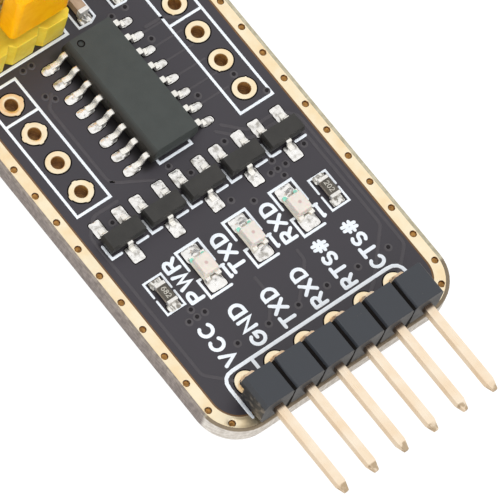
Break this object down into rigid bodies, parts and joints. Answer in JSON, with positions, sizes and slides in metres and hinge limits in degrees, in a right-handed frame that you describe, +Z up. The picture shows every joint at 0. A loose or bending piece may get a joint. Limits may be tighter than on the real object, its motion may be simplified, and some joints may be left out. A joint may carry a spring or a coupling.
{
  "type": "usb to serial adapter module",
  "caption": "Small circuit board that turns USB into a serial port: USB plug at one end, right angle pin header at the other, side holes and a voltage jumper.",
  "frame": {"origin": "on the surface the solder tails stand on, under the middle of the whole length and width", "axes": "+X from the USB plug to the pin header, +Z up from the solder side to the parts side"},
  "size_m": [0.0596, 0.0204, 0.011],
  "materials": {
    "board": "charcoal solder mask over a glass fibre board, gold plated rim and pads",
    "header_plastic": "dark slate moulded plastic",
    "solder": "bright solder",
    "jumper_base_plastic": "yellow moulded plastic",
    "jumper_cap_plastic": "orange yellow moulded plastic",
    "clip_metal": "folded spring brass",
    "shell_metal": "nickel plated folded steel",
    "plug_plastic": "black moulded plastic",
    "pin_gold": "gold plated",
    "chip_plastic": "dark grey moulded epoxy",
    "lead_tin": "tinned lead frame",
    "transistor_plastic": "black moulded epoxy",
    "led_base": "white laminate with plated ends",
    "led_lens": "milky resin",
    "resistor_black": "black glazed ceramic",
    "capacitor_ceramic": "tan brown ceramic",
    "terminal_tin": "tinned terminals"
  },
  "bodies": {
    "board_assembly": {"circuit_board": "board", "header_housing": "header_plastic", "header_solder": "solder", "jumper_base": "jumper_base_plastic", "jumper_solder": "solder", "usb_plug_shell": "shell_metal", "usb_plug_insulator": "plug_plastic", "usb_contact_solder": "solder", "serial_chip_body": "chip_plastic", "serial_chip_leads": "lead_tin", "serial_chip_solder": "solder", "header_pin_1": "pin_gold", "header_pin_2": "pin_gold", "header_pin_3": "pin_gold", "header_pin_4": "pin_gold", "header_pin_5": "pin_gold", "header_pin_6": "pin_gold", "jumper_pin_1": "pin_gold", "jumper_pin_2": "pin_gold", "jumper_pin_3": "pin_gold", "usb_contact_1": "pin_gold", "usb_contact_2": "pin_gold", "usb_contact_3": "pin_gold", "usb_contact_4": "pin_gold", "transistor_1_body": "transistor_plastic", "transistor_1_leads": "lead_tin", "transistor_2_body": "transistor_plastic", "transistor_2_leads": "lead_tin", "transistor_3_body": "transistor_plastic", "transistor_3_leads": "lead_tin", "transistor_4_body": "transistor_plastic", "transistor_4_leads": "lead_tin", "transistor_5_body": "transistor_plastic", "transistor_5_leads": "lead_tin", "transistor_solder": "solder", "led_1_base": "led_base", "led_1_lens": "led_lens", "led_2_base": "led_base", "led_2_lens": "led_lens", "led_3_base": "led_base", "led_3_lens": "led_lens", "led_solder": "solder", "resistor_1_body": "resistor_black", "resistor_1_terminals": "terminal_tin", "capacitor_1_body": "capacitor_ceramic", "capacitor_1_terminals": "terminal_tin", "resistor_2_body": "resistor_black", "resistor_2_terminals": "terminal_tin", "capacitor_2_body": "capacitor_ceramic", "capacitor_2_terminals": "terminal_tin", "passive_solder": "solder"},
    "jumper_cap": {"jumper_cap_housing": "jumper_cap_plastic", "jumper_cap_clip": "clip_metal"}
  },
  "joints": [
    {"name": "jumper_cap_pull", "type": "slide", "parent": "board_assembly", "child": "jumper_cap", "axis": [0, 0, 1], "range_m": [0, 0.007]}
  ]
}
